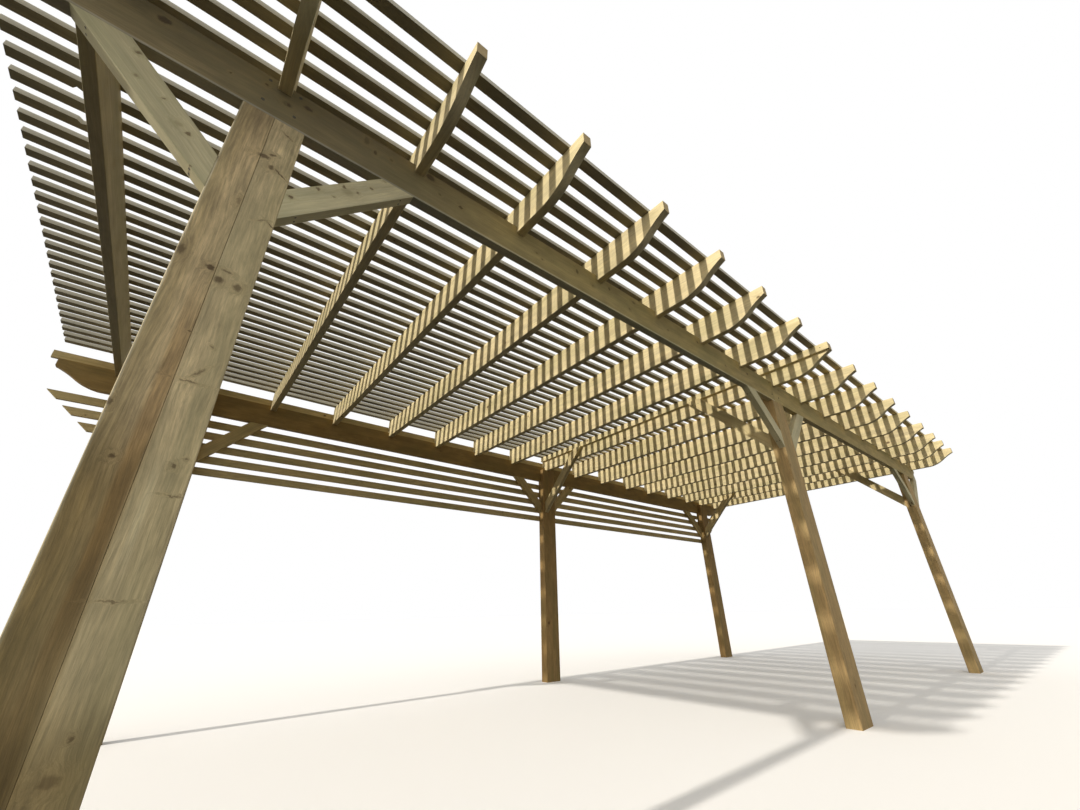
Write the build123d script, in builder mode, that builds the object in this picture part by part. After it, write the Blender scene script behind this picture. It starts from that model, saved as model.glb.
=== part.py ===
from build123d import *
import os

# A long open timber pergola of bolted softwood, built from the ground up:
# six doubled posts in two rows, a spliced beam on each row, seventeen rafters
# notched over both beams, knee braces along the beams, cross braces up to the
# rafters, battens over the roof and a slatted screen along the back.
#
# Millimetres. X runs along the pergola, -Y is the open front, +Z is up.
# The origin is on the ground under the middle of the whole outline.

os.makedirs("parts", exist_ok=True)

# Timber sections
timber_thick = 47.0
beam_deep = 200.0
rafter_deep = 200.0
post_wide = 200.0
post_deep = 100.0
seam_at_head = 1.6
seam_at_foot = 0.6
batten_wide = 50.0
batten_thick = 25.0
slat_wide = 62.0
slat_thick = 25.0

# Heights above the ground
headroom = 2372.0
beam_top = headroom + beam_deep
rafter_notch = 45.0
rafter_under = beam_top - rafter_notch
rafter_top = rafter_under + rafter_deep

# Plan, measured along X from the near posts and along Y from the front face
bay_near = 3970.0
bay_far = 3860.0
frame_deep = 3254.0
rafters_per_bay = 7
rafter_front_overhang = 515.0
rafter_drift = {
    3: -18.0,
    4: -16.0,
    5: 14.0,
    6: 17.0,
    7: -10.0,
    8: -8.0,
    10: 9.0,
    11: 9.0,
    12: 30.0,
    13: 17.0,
    14: 24.0,
    15: 13.0,
}
beam_near_reach = 930.0
beam_far_reach = 620.0
beam_joint_offset = 40.0
last_rafter_inset = 115.0
rafter_clear = 150.0

# Shaped ends of the beams and the rafters
nose_plumb = 64.0
scoop_long = 110.0
scoop_drop = 125.0
belly_long = 290.0
arris = 3.0

# Braces, all cut at 45 degrees
brace_inner = 297.0
brace_outer = 438.0
strip_thick = 25.0
strip_deep = 60.0

# Roof battens
batten_first_inset = 119.0
batten_eaves_count = 4
batten_field_start = 3.0
batten_field_pitch = 107.3
batten_reach_front = 860.0
batten_reach_back = 949.0
batten_past_last_rafter = 45.0
chip_long = 42.0
chip_deep = 15.0
chip_from_post = 697.0

# Slatted screen along the back
slat_pitch = 107.0
slat_gap_under_beam = 45.0
slat_count = 5
slat_rake = 1.1
slat_near_reach = 922.0
slat_far_reach = 600.0
top_slat_past_beam = 55.0
top_slat_above_beam = 14.0

# Lines along the pergola
post_lines = {"near": 0.0, "middle": bay_near, "far": bay_near + bay_far}
beam_near_end = -beam_near_reach
beam_far_end = post_lines["far"] + beam_far_reach
beam_joint = post_lines["middle"] - beam_joint_offset
rafter_pitch = bay_near / rafters_per_bay
last_rafter = beam_far_end - last_rafter_inset
regular_count = int((post_lines["far"] - rafter_clear) / rafter_pitch)

# The origin is moved to the middle of the outline
centre_x = (beam_near_end + beam_far_end) / 2
centre_y = (frame_deep + slat_thick - rafter_front_overhang) / 2


def at_x(x):
    """Turn a distance from the near posts into the model's X."""
    return x - centre_x


def at_y(y):
    """Turn a distance from the front face into the model's Y."""
    return y - centre_y


front_face = at_y(0.0)
back_face = at_y(frame_deep)


def save(piece, label):
    """Label a finished piece and write it under that name."""
    piece.part.label = label
    export_step(piece.part, f"parts/{label}.step")


def ease_long_edges(piece, axis, shortest):
    """Round the long edges of a planed timber, as the mill leaves them."""
    long_edges = piece.edges().filter_by(axis).filter_by(lambda edge: edge.length > shortest)
    fillet(long_edges, radius=arris)


def shaped_end(tip, top, side):
    """Draw the plumb nose, the scoop and the rounded belly of a shaped end."""
    nose = (tip, top - nose_plumb)
    scoop_mid = (tip + side * scoop_long * 0.5, top - (nose_plumb + scoop_drop) / 2 + 4.0)
    scoop = (tip + side * scoop_long, top - scoop_drop)
    belly_mid = (tip + side * 200.0, top - 178.0)
    belly = (tip + side * belly_long, top - beam_deep)
    Line((tip, top), nose)
    ThreePointArc(nose, scoop_mid, scoop)
    ThreePointArc(scoop, belly_mid, belly)
    return belly


def seam_corners(middle):
    """Give the corners of the thin gap between the two timbers of a post."""
    return [
        (middle - seam_at_foot / 2, 0.0),
        (middle + seam_at_foot / 2, 0.0),
        (middle + seam_at_head / 2, rafter_under),
        (middle - seam_at_head / 2, rafter_under),
    ]


# Posts, each of two square timbers side by side, rebated at the head so that
# the beam sits flush with the outer face
for place, line in post_lines.items():
    left = Plane.YZ.offset(at_x(line) - post_wide / 2)
    inner = front_face + post_deep
    seat = front_face + timber_thick
    with BuildPart() as front_post:
        with BuildSketch(left):
            with BuildLine():
                Polyline(
                    (front_face, 0.0),
                    (inner, 0.0),
                    (inner, rafter_under),
                    (seat, rafter_under),
                    (seat, headroom),
                    (front_face, headroom),
                    close=True,
                )
            make_face()
        extrude(amount=post_wide)
        ease_long_edges(front_post, Axis.Z, headroom / 2)
        with BuildSketch(Plane.XZ.offset(-inner)):
            with BuildLine():
                Polyline(*seam_corners(at_x(line)), close=True)
            make_face()
        extrude(amount=post_deep, mode=Mode.SUBTRACT)
    save(front_post, f"post_front_{place}")

    inner = back_face - post_deep
    seat = back_face - timber_thick
    with BuildPart() as back_post:
        with BuildSketch(left):
            with BuildLine():
                Polyline(
                    (back_face, 0.0),
                    (inner, 0.0),
                    (inner, rafter_under),
                    (seat, rafter_under),
                    (seat, headroom),
                    (back_face, headroom),
                    close=True,
                )
            make_face()
        extrude(amount=post_wide)
        ease_long_edges(back_post, Axis.Z, headroom / 2)
        with BuildSketch(Plane.XZ.offset(-back_face)):
            with BuildLine():
                Polyline(*seam_corners(at_x(line)), close=True)
            make_face()
        extrude(amount=post_deep, mode=Mode.SUBTRACT)
    save(back_post, f"post_back_{place}")

# Beams in two lengths a side, butted on the middle post, with shaped ends
for row, inner_side in (("front", front_face + timber_thick), ("back", back_face)):
    upright = Plane.XZ.offset(-inner_side)
    with BuildPart() as near_beam:
        with BuildSketch(upright):
            with BuildLine():
                tip = at_x(beam_near_end)
                joint = at_x(beam_joint)
                belly = shaped_end(tip, beam_top, 1)
                Polyline(belly, (joint, headroom), (joint, beam_top), (tip, beam_top))
            make_face()
        extrude(amount=timber_thick)
        ease_long_edges(near_beam, Axis.X, beam_deep)
    save(near_beam, f"beam_{row}_near")

    with BuildPart() as far_beam:
        with BuildSketch(upright):
            with BuildLine():
                tip = at_x(beam_far_end)
                belly = shaped_end(tip, beam_top, -1)
                Polyline(belly, (joint, headroom), (joint, beam_top), (tip, beam_top))
            make_face()
        extrude(amount=timber_thick)
        ease_long_edges(far_beam, Axis.X, beam_deep)
    save(far_beam, f"beam_{row}_far")

# Rafters, notched over both beams, shaped at the front and plumb at the back.
# They keep one pitch except for the last two, one of which is on the far posts,
# and those with no brace on them stand a little off their line, as they were nailed.
rafter_lines = [rafter_pitch * n for n in range(-1, regular_count + 1)]
rafter_lines += [post_lines["far"], last_rafter]
for number, line in enumerate(rafter_lines, start=1):
    near_side = at_x(line + rafter_drift.get(number, 0.0)) - timber_thick / 2
    with BuildPart() as rafter:
        with BuildSketch(Plane.YZ.offset(near_side)):
            with BuildLine():
                tip = front_face - rafter_front_overhang
                belly = shaped_end(tip, rafter_top, 1)
                Polyline(
                    belly,
                    (front_face, rafter_under),
                    (front_face, beam_top),
                    (front_face + timber_thick, beam_top),
                    (front_face + timber_thick, rafter_under),
                    (back_face - timber_thick, rafter_under),
                    (back_face - timber_thick, beam_top),
                    (back_face, beam_top),
                    (back_face, rafter_top),
                    (tip, rafter_top),
                )
            make_face()
        extrude(amount=timber_thick)
        ease_long_edges(rafter, Axis.Y, rafter_deep)
    save(rafter, f"rafter_{number:02d}")

# Strip on the near side of the rafter over the middle posts, under the batten ends
joint_face = at_x(post_lines["middle"]) - timber_thick / 2
with BuildPart() as side_strip:
    with BuildSketch(Plane.YZ.offset(joint_face - strip_thick)):
        with BuildLine():
            Polyline(
                (tip, rafter_top),
                (tip, rafter_top - strip_deep),
                (back_face, rafter_top - strip_deep),
                (back_face, rafter_top),
                close=True,
            )
        make_face()
    extrude(amount=strip_thick)
save(side_strip, "rafter_side_strip")

# Knee braces between each post and its beam, flush with the outer faces
for row, inner_side in (("front", front_face + timber_thick), ("back", back_face)):
    for place, line in post_lines.items():
        with BuildPart() as knee_braces:
            with BuildSketch(Plane.XZ.offset(-inner_side)):
                for side in (-1, 1):
                    face = at_x(line) + side * post_wide / 2
                    with BuildLine():
                        Polyline(
                            (face + side * brace_inner, headroom),
                            (face + side * brace_outer, headroom),
                            (face, headroom - brace_outer),
                            (face, headroom - brace_inner),
                            close=True,
                        )
                    make_face()
            extrude(amount=timber_thick)
        save(knee_braces, f"knee_braces_{row}_{place}")

# Cross braces from each post's inner face to the side of the rafter above it
brace_head = rafter_top - strip_deep
for place, line in post_lines.items():
    lap_face = at_x(line) - timber_thick / 2
    with BuildPart() as cross_braces:
        with BuildSketch(Plane.YZ.offset(lap_face - timber_thick)):
            low = headroom - brace_outer
            high = headroom - brace_inner
            for face, side in ((front_face + post_deep, 1), (back_face - post_deep, -1)):
                with BuildLine():
                    Polyline(
                        (face, low),
                        (face, high),
                        (face + side * (brace_head - high), brace_head),
                        (face + side * (brace_head - low), brace_head),
                        close=True,
                    )
                make_face()
        extrude(amount=timber_thick)
    save(cross_braces, f"cross_braces_{place}")

# Roof battens, a wider field over the frame and four closer ones over the eaves
batten_first = batten_first_inset - rafter_front_overhang
field_room = frame_deep - batten_wide / 2 - batten_field_start
batten_field_count = int(field_room / batten_field_pitch) + 1
field_end = batten_field_start + batten_field_pitch * (batten_field_count - 1)
eaves_pitch = (batten_field_start - batten_first) / batten_eaves_count
batten_lines = [batten_first + eaves_pitch * n for n in range(batten_eaves_count)]
batten_lines += [batten_field_start + batten_field_pitch * n for n in range(batten_field_count)]
end_slope = (batten_reach_back - batten_reach_front) / (field_end - batten_first)
with BuildPart() as near_battens:
    for line in batten_lines:
        near_end = at_x(-batten_reach_front - end_slope * (line - batten_first))
        middle = (near_end + joint_face) / 2
        with Locations((middle, at_y(line), rafter_top + batten_thick / 2)):
            Box(joint_face - near_end, batten_wide, batten_thick)
    # Two broken edges near the free ends, one on each side of a gap between battens
    with BuildSketch(Plane.XY.offset(rafter_top)):
        for line, side in ((batten_lines[10], 1), (batten_lines[12], -1)):
            start = at_x(-chip_from_post)
            edge = at_y(line) + side * batten_wide / 2
            with BuildLine():
                Polyline(
                    (start, edge),
                    (start + chip_long * 0.3, edge - side * chip_deep),
                    (start + chip_long, edge),
                    (start + chip_long * 0.5, edge + side * chip_deep),
                    close=True,
                )
            make_face()
    extrude(amount=batten_thick, mode=Mode.SUBTRACT)
save(near_battens, "roof_battens_near")

with BuildPart() as far_battens:
    far_end = at_x(last_rafter + batten_past_last_rafter)
    middle = (joint_face + far_end) / 2
    for line in batten_lines:
        with Locations((middle, at_y(line), rafter_top + batten_thick / 2)):
            Box(far_end - joint_face, batten_wide, batten_thick)
save(far_battens, "roof_battens_far")

# Screen slats on the outer side of the back posts, their free ends cut to a rake
splice = at_x(post_lines["middle"])
screen_side = Plane.XZ.offset(-(back_face + slat_thick))
slat_tops = [headroom - slat_gap_under_beam - slat_pitch * n for n in range(slat_count)]
with BuildPart() as near_slats:
    with BuildSketch(screen_side):
        for slat_top in slat_tops:
            step_in = (slat_tops[0] - slat_top) * slat_rake
            end = at_x(step_in - slat_near_reach)
            with BuildLine():
                Polyline(
                    (end, slat_top),
                    (splice, slat_top),
                    (splice, slat_top - slat_wide),
                    (end + slat_wide * slat_rake, slat_top - slat_wide),
                    close=True,
                )
            make_face()
    extrude(amount=slat_thick)
save(near_slats, "screen_slats_near")

with BuildPart() as far_slats:
    with BuildSketch(screen_side):
        for slat_top in slat_tops:
            step_in = (slat_tops[0] - slat_top) * slat_rake
            end = at_x(post_lines["far"] + slat_far_reach - step_in)
            with BuildLine():
                Polyline(
                    (end, slat_top),
                    (splice, slat_top),
                    (splice, slat_top - slat_wide),
                    (end - slat_wide * slat_rake, slat_top - slat_wide),
                    close=True,
                )
            make_face()
    extrude(amount=slat_thick)
save(far_slats, "screen_slats_far")

# Top slat across the back ends of the rafters
top_slat_low = beam_top + top_slat_above_beam
top_slat_ends = {
    "near": beam_near_end - top_slat_past_beam,
    "far": beam_far_end + top_slat_past_beam,
}
for place, end in top_slat_ends.items():
    with BuildPart() as top_slat:
        middle = (at_x(end) + splice) / 2
        with Locations((middle, back_face + slat_thick / 2, top_slat_low + slat_wide / 2)):
            Box(abs(splice - at_x(end)), slat_thick, slat_wide)
    save(top_slat, f"screen_top_slat_{place}")
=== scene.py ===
"""Looks of the long timber pergola.

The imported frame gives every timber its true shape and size. This script dresses each one in
pressure-treated softwood, adds the screws and nails that hold the timbers together and the heads
of two braces, and sets the floor, the light and the camera.
"""

import logging
import math
from dataclasses import dataclass, replace
from enum import Enum

import bmesh
import bpy
from mathutils import Matrix, Vector
from mathutils.bvhtree import BVHTree

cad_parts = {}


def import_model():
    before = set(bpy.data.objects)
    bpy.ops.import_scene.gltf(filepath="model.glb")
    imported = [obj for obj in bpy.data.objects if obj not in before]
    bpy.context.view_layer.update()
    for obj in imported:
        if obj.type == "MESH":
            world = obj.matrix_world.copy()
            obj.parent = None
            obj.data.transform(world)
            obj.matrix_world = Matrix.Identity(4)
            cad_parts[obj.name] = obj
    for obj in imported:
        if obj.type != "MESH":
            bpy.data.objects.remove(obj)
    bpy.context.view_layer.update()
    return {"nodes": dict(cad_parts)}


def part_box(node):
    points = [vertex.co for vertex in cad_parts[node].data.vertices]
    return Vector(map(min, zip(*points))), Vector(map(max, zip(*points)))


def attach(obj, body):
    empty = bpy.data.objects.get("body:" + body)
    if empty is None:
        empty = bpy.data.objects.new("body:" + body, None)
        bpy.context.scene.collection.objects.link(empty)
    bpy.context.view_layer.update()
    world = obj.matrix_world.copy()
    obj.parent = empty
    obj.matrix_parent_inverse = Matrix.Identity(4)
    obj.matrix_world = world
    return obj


Tree = bpy.types.NodeTree
Socket = bpy.types.NodeSocket
Place = tuple[Vector, Vector]

LOG = logging.getLogger("pergola")
MM = 0.001
# Half size of a mark or wash across its face in metres, so large that only the other axes shape it
THROUGH = 1000.0
NEAR_POST = "post_front_near"


def linear(hex_colour: str) -> tuple[float, float, float, float]:
    """Turn an sRGB hex colour into linear light.

    Args:
        hex_colour: Six hex digits after a hash sign.

    Returns:
        Red, green, blue and an alpha of 1.
    """
    parts = [int(hex_colour[place : place + 2], 16) / 255 for place in (1, 3, 5)]
    lights = [part / 12.92 if part <= 0.04045 else ((part + 0.055) / 1.055) ** 2.4 for part in parts]
    return (lights[0], lights[1], lights[2], 1.0)


def cleared_tree(owner: bpy.types.Material | bpy.types.World) -> Tree:
    """Switch on the nodes of a material or of the world and clear them.

    Args:
        owner: The material or world.

    Returns:
        Its empty node tree.
    """
    owner.use_nodes = True
    owner.node_tree.nodes.clear()
    return owner.node_tree


def add_node(tree: Tree, kind: str, inputs: dict | tuple = (), **settings: object) -> bpy.types.NodeOutputs:
    """Add one shader node with its settings and its links.

    Args:
        tree: The node tree of a material or of the world.
        kind: The node's type without the word ShaderNode, such as Math.
        inputs: Values to set or sockets to link, in the inputs' order or by name or number.
        settings: Properties of the node.

    Returns:
        The node's outputs.
    """
    node = tree.nodes.new(f"ShaderNode{kind}")
    for name, value in settings.items():
        setattr(node, name, value)
    pairs = inputs.items() if isinstance(inputs, dict) else enumerate(inputs)
    for key, value in pairs:
        if isinstance(value, Socket):
            tree.links.new(value, node.inputs[key])
        else:
            node.inputs[key].default_value = value
    return node.outputs


def patches(
    tree: Tree, where: Socket, along: float, across: float, detail: float, roughness: float = 0.5
) -> bpy.types.NodeOutputs:
    """Draw soft patches that have one size along the grain and another across it.

    Args:
        tree: The material's node tree.
        where: The board's coordinates.
        along: Number of patches in a metre along the grain.
        across: Number of patches in a metre across it.
        detail: Number of finer layers on top of them.
        roughness: How strong those layers are.

    Returns:
        The outputs Fac and Color.
    """
    space = add_node(tree, "VectorMath", (where, (along, across, across)), operation="MULTIPLY")[0]
    looks = {"Vector": space, "Scale": 1.0, "Detail": detail, "Roughness": roughness}
    return add_node(tree, "TexNoise", looks)


def add_piece(name: str, shape: bmesh.types.BMesh) -> bpy.types.Object:
    """Make a finished shape an object of the scene.

    Args:
        name: The object's name.
        shape: The shape in its place, which is freed here.

    Returns:
        The object, at the origin.
    """
    mesh = bpy.data.meshes.new(name)
    shape.to_mesh(mesh)
    shape.free()
    piece = bpy.data.objects.new(name, mesh)
    bpy.context.scene.collection.objects.link(piece)
    return piece


class Grain(Enum):
    """The direction in which a timber's grain runs."""

    ALONG = (1.0, 0.0, 0.0)
    ACROSS = (0.0, 1.0, 0.0)
    UPRIGHT = (0.0, 0.0, 1.0)
    KNEE = (1.0, 0.0, 1.0)
    CROSS = (0.0, -1.0, 1.0)

    def turn(self) -> tuple[float, float, float]:
        """Give the rotation that takes X to the grain."""
        return tuple(Vector((1, 0, 0)).rotation_difference(Vector(self.value)).to_euler())


@dataclass(frozen=True)
class BoardPlace:
    """Where the boards of one node lie, and how like boards in it are told apart.

    Args:
        origin: A point on the node's first board, in metres.
        grain: The direction of the grain.
        seed: A number that gives the node its own pattern.
        stacked: The axis along which like boards lie side by side, if any.
        pitch: Their spacing in metres.
        phase: 0.5 where the origin is on a board, 0 where it is between two.
        mirrored: The axis across which two boards mirror each other, if any.
    """

    origin: tuple[float, float, float]
    grain: Grain
    seed: float
    stacked: str = ""
    pitch: float = 2.0
    phase: float = 0.0
    mirrored: str = ""


@dataclass(frozen=True)
class Spot:
    """A given place on an upright face.

    Args:
        along: Distance of its middle from the post's middle line in millimetres.
        height: Height of its middle above the ground in millimetres.
        wide: Half its width in millimetres.
        tall: Half its height in millimetres.
    """

    along: float
    height: float
    wide: float
    tall: float


@dataclass(frozen=True)
class Mark(Spot):
    """A knot or crack.

    Args:
        depth: How dark it is, from 0 to 1.
        lean: How far it leans over clockwise in degrees.
    """

    depth: float = 0.8
    lean: float = 0.0


@dataclass(frozen=True)
class Wash(Spot):
    """A stretch with another colour, which ends softly.

    Args:
        colour: Its colour.
        share: How much of that colour it takes, from 0 to 1.
        soft: How soon it fades, as a share of its half sizes.
    """

    colour: str
    share: float
    soft: float = 0.5


@dataclass(frozen=True)
class FaceDetail:
    """The knots, cracks and washes that belong to one upright face.

    Args:
        line: The middle line along X from which they are measured, in metres.
        marks: Knots and cracks, which stand for the scattered ones.
        washes: Stretches with another colour.
    """

    line: float
    marks: tuple[Mark, ...] = ()
    washes: tuple[Wash, ...] = ()

    def around(self, tree: Tree, where: Socket, spot: Spot, lean: float = 0.0, shift: float = 0.0) -> Socket:
        """Measure the face from one spot's middle, in its half sizes.

        Args:
            tree: The material's node tree.
            where: Object coordinates.
            spot: The mark or wash.
            lean: How far it leans over clockwise in degrees.
            shift: How far the coordinates were moved along and up in metres.

        Returns:
            Coordinates that are 1 long at its edge.
        """
        looks = {
            "Vector": where,
            "Location": (self.line + spot.along * MM + shift, 0.0, spot.height * MM + shift),
            "Rotation": (0.0, math.radians(lean), 0.0),
            "Scale": (spot.wide * MM, THROUGH, spot.tall * MM),
        }
        return add_node(tree, "Mapping", looks, vector_type="TEXTURE")[0]


@dataclass(frozen=True)
class Softwood:
    """Pressure-treated softwood: pale greenish tan with darker late wood, brown knots and a dry sheen.

    Args:
        early: Colour of the wide pale bands that grow in spring.
        late: Colour of the narrow bands that grow in late summer.
        green: Colour of the blotches that the treatment leaves.
        knot: Colour of a knot's heart.
        end: Colour of the end grain, which takes in more of the treatment.
        bleached_and_lit: Colour of upright faces, pale partly from the weather and partly as painted light.
        bleach_and_light: How much of that colour they have, from 0 to 1.
        topside: Colour of a weather-worn board's top, which the weather makes alike on all of them.
        rings: How clearly the rings show, from 0 to 1.
        ring_mm: Width of a growth ring as drawn. Real ones are 2 to 5 mm, too fine to show here.
        fuzz: How clearly single fibres show.
        mottle: How much soft dark and pale patches differ.
        knot_mm: Radius of a large knot.
        knot_every_mm: Usual distance between whorls of knots along the board.
        saw: How deep the saw's marks are, or 0 on a planed face.
        tone: How much one board differs from the next.
        roughness: Roughness of the dry surface.
        own_shift: How far along and across chance moves a board's pattern at most, in metres.
    """

    early: str = "#D8C692"
    late: str = "#B2975F"
    green: str = "#A6A06A"
    knot: str = "#5A4227"
    end: str = "#9C8356"
    bleached_and_lit: str = "#D6D2C0"
    bleach_and_light: float = 0.0
    topside: str = "#CFC6A6"
    rings: float = 0.45
    ring_mm: float = 9.0
    fuzz: float = 0.2
    mottle: float = 0.16
    knot_mm: float = 19.0
    knot_every_mm: float = 420.0
    saw: float = 0.0
    tone: float = 0.2
    roughness: float = 0.74
    own_shift: tuple[float, float, float] = (37.0, 3.0, 3.0)

    def board(self, tree: Tree, place: BoardPlace) -> tuple[Socket, Socket, Socket | None]:
        """Turn Object coordinates into the board's own, with X along its grain.

        Args:
            tree: The material's node tree.
            place: Where the boards lie.

        Returns:
            The board's coordinates in metres, three chance numbers that are its own, and a factor
            that mirrors a direction on the second of two mirrored boards.
        """
        mirror = None
        seed = place.seed
        source = add_node(tree, "TexCoord")["Object"]
        local = add_node(tree, "Mapping", (source, place.origin), vector_type="TEXTURE")[0]
        axis_name = place.stacked or place.mirrored
        if axis_name:
            split = add_node(tree, "SeparateXYZ", (local,))
            axis = split[axis_name]
            steps = add_node(tree, "Math", (axis, 1 / place.pitch, place.phase), operation="MULTIPLY_ADD")[0]
            number = add_node(tree, "Math", (steps,), operation="FLOOR")[0]
            seed = add_node(tree, "Math", (number, place.seed), operation="ADD")[0]
            if place.mirrored:
                moved = add_node(tree, "Math", (axis,), operation="ABSOLUTE")[0]
                side = add_node(tree, "Math", (axis,), operation="SIGN")[0]
                mirror = add_node(tree, "CombineXYZ", {"X": 1.0, "Y": 1.0, "Z": 1.0, axis_name: side})[0]
            else:
                moved = add_node(tree, "Math", (number, -place.pitch, axis), operation="MULTIPLY_ADD")[0]
            parts = {letter: split[letter] for letter in "XYZ"}
            local = add_node(tree, "CombineXYZ", {**parts, axis_name: moved})[0]
        chance = add_node(tree, "TexWhiteNoise", {"W": seed}, noise_dimensions="1D")["Color"]
        turn = {"Vector": local, "Rotation": place.grain.turn()}
        return add_node(tree, "Mapping", turn, vector_type="TEXTURE")[0], chance, mirror

    def knots(self, tree: Tree, shifted: Socket) -> tuple[Socket, Socket]:
        """Scatter knots as round spots that the board's faces cut through.

        Args:
            tree: The material's node tree.
            shifted: The board's coordinates, moved by chance.

        Returns:
            A mask of the knots' hearts, and a wider one of the grain that bends round them.
        """
        every = self.knot_every_mm * MM
        # Cells of knots are 110 mm wide, and the smallest knot is a fifth of the largest
        across = 0.11
        smallest = 0.2
        # Lengths along the grain count for less, so knots are longer that way
        shorter = 0.7
        # Both fade between two distances, in radii, from one strength to another
        heart_fade = (0.45, 1.0, 0.85, 0.0)
        halo_fade = (0.9, 3.2, 1.0, 0.0)
        packing = (1 / every, 1 / across, 1 / across)
        packed = add_node(tree, "VectorMath", (shifted, packing), operation="MULTIPLY")[0]
        spots = {"Vector": packed, "Scale": 1.0, "Randomness": 1.0}
        cells = add_node(tree, "TexVoronoi", spots, feature="F1")
        away = add_node(tree, "VectorMath", (packed, cells["Position"]), operation="SUBTRACT")[0]
        unpacking = (every * shorter, across, across)
        real = add_node(tree, "VectorMath", (away, unpacking), operation="MULTIPLY")[0]
        distance = add_node(tree, "VectorMath", (real,), operation="LENGTH")["Value"]
        chance = add_node(tree, "SeparateColor", (cells["Color"],))[0]
        sizes = (self.knot_mm * smallest * MM, self.knot_mm * MM)
        radius = add_node(tree, "MapRange", (chance, 0.0, 1.0, *sizes))[0]
        share = add_node(tree, "Math", (distance, radius), operation="DIVIDE")[0]
        heart = add_node(tree, "MapRange", (share, *heart_fade), interpolation_type="SMOOTHSTEP")[0]
        halo = add_node(tree, "MapRange", (share, *halo_fade), interpolation_type="SMOOTHSTEP")[0]
        return heart, halo

    def placed_marks(self, tree: Tree, detail: FaceDetail) -> tuple[Socket, Socket]:
        """Add the knots and cracks that are listed.

        Args:
            tree: The material's node tree.
            detail: The face's detail.

        Returns:
            A mask of their hearts, and a wider one around them.
        """
        # Edges wander by up to about 6 mm, so that no knot is a clean oval
        sway = 0.022
        # Between two distances, in half sizes, a heart fades to nothing and a halo from its strength
        heart_ends = (0.45, 1.15)
        halo_fade = (0.9, 3.0, 0.8, 0.0)
        source = add_node(tree, "TexCoord")["Object"]
        looks = {"Vector": source, "Scale": 60.0, "Detail": 4.0, "Roughness": 0.7}
        ragged = add_node(tree, "TexNoise", looks)["Color"]
        rough = add_node(tree, "VectorMath", (ragged, (sway, 0.0, sway), source), operation="MULTIPLY_ADD")[0]
        nearest = None
        hearts = None
        for mark in detail.marks:
            spot = detail.around(tree, rough, mark, mark.lean, sway / 2)
            share = add_node(tree, "VectorMath", (spot,), operation="LENGTH")["Value"]
            fade = (share, *heart_ends, mark.depth, 0.0)
            heart = add_node(tree, "MapRange", fade, interpolation_type="SMOOTHSTEP")[0]
            if nearest is None:
                nearest, hearts = share, heart
            else:
                nearest = add_node(tree, "Math", (nearest, share), operation="MINIMUM")[0]
                hearts = add_node(tree, "Math", (hearts, heart), operation="MAXIMUM")[0]
        halo = add_node(tree, "MapRange", (nearest, *halo_fade), interpolation_type="SMOOTHSTEP")[0]
        return hearts, halo

    def washed(self, tree: Tree, colour: Socket, detail: FaceDetail) -> Socket:
        """Tint a colour with the washes, which keep its texture.

        Args:
            tree: The material's node tree.
            colour: The wood's colour.
            detail: The face's detail.

        Returns:
            The colour with the washes.
        """
        source = add_node(tree, "TexCoord")["Object"]
        for wash in detail.washes:
            spot = detail.around(tree, source, wash)
            away = add_node(tree, "VectorMath", (spot,), operation="ABSOLUTE")[0]
            split = add_node(tree, "SeparateXYZ", (away,))
            furthest = add_node(tree, "Math", (split["X"], split["Z"]), operation="MAXIMUM")[0]
            fade = (furthest, 1.0 - wash.soft, 1.0 + wash.soft, wash.share, 0.0)
            share = add_node(tree, "MapRange", fade, interpolation_type="SMOOTHSTEP")[0]
            ratio = tuple(new / old for new, old in zip(linear(wash.colour)[:3], linear(self.early)[:3]))
            tinted = add_node(tree, "VectorMath", (colour, ratio), operation="MULTIPLY")[0]
            colour = add_node(tree, "Mix", {0: share, 6: colour, 7: tinted}, data_type="RGBA")[2]
        return colour

    def ringed(self, tree: Tree, swayed: Socket, chance: Socket, halo: Socket) -> Socket:
        """Draw growth rings as shells round a pith that wanders beside the board.

        Args:
            tree: The material's node tree.
            swayed: The board's coordinates with the grain's sway.
            chance: The board's chance numbers.
            halo: The mask of the grain that bends round knots.

        Returns:
            0 in the spring's wood and 1 in the summer's.
        """
        # Chance sets the pith at most 0.155 m to one side of the board's middle and 0.105 m to the other
        pith_range = (0.0, 0.26, 0.26)
        pith_furthest = (0.0, -0.155, -0.155)
        # Rings run nearly along the board, and each knot bends them by up to 1.3 rings
        taper = 0.012
        rings_bent = 1.3
        late_from, late_to = 0.34, 0.7
        pithed = add_node(tree, "VectorMath", (chance, pith_range, swayed), operation="MULTIPLY_ADD")[0]
        cone = {"Vector": pithed, "Location": pith_furthest, "Scale": (taper, 1.0, 1.0)}
        flattened = add_node(tree, "Mapping", cone, vector_type="POINT")[0]
        radius = add_node(tree, "VectorMath", (flattened,), operation="LENGTH")["Value"]
        counted = add_node(tree, "Math", (radius, 1 / (self.ring_mm * MM)), operation="MULTIPLY")[0]
        bent = add_node(tree, "Math", (halo, rings_bent, counted), operation="MULTIPLY_ADD")[0]
        bands = {"W": bent, "Scale": 1.0, "Detail": 3.0, "Roughness": 0.65}
        rings = add_node(tree, "TexNoise", bands, noise_dimensions="1D")["Fac"]
        return add_node(tree, "MapRange", (rings, late_from, late_to), interpolation_type="SMOOTHSTEP")[0]

    def clear_wood(
        self, tree: Tree, chance: Socket, shifted: Socket, moved: Socket, flow: Socket, ring_share: Socket
    ) -> tuple[Socket, Socket]:
        """Colour the wood between the knots: rings, fibres, streaks, mottle and green blotches.

        Args:
            tree: The material's node tree.
            chance: The board's chance numbers.
            shifted: The board's coordinates, moved by chance.
            moved: The same with the grain's sway.
            flow: The same with the grain's bend round knots.
            ring_share: How much of the late wood's colour shows.

        Returns:
            The wood's colour and its fibres.
        """
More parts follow.
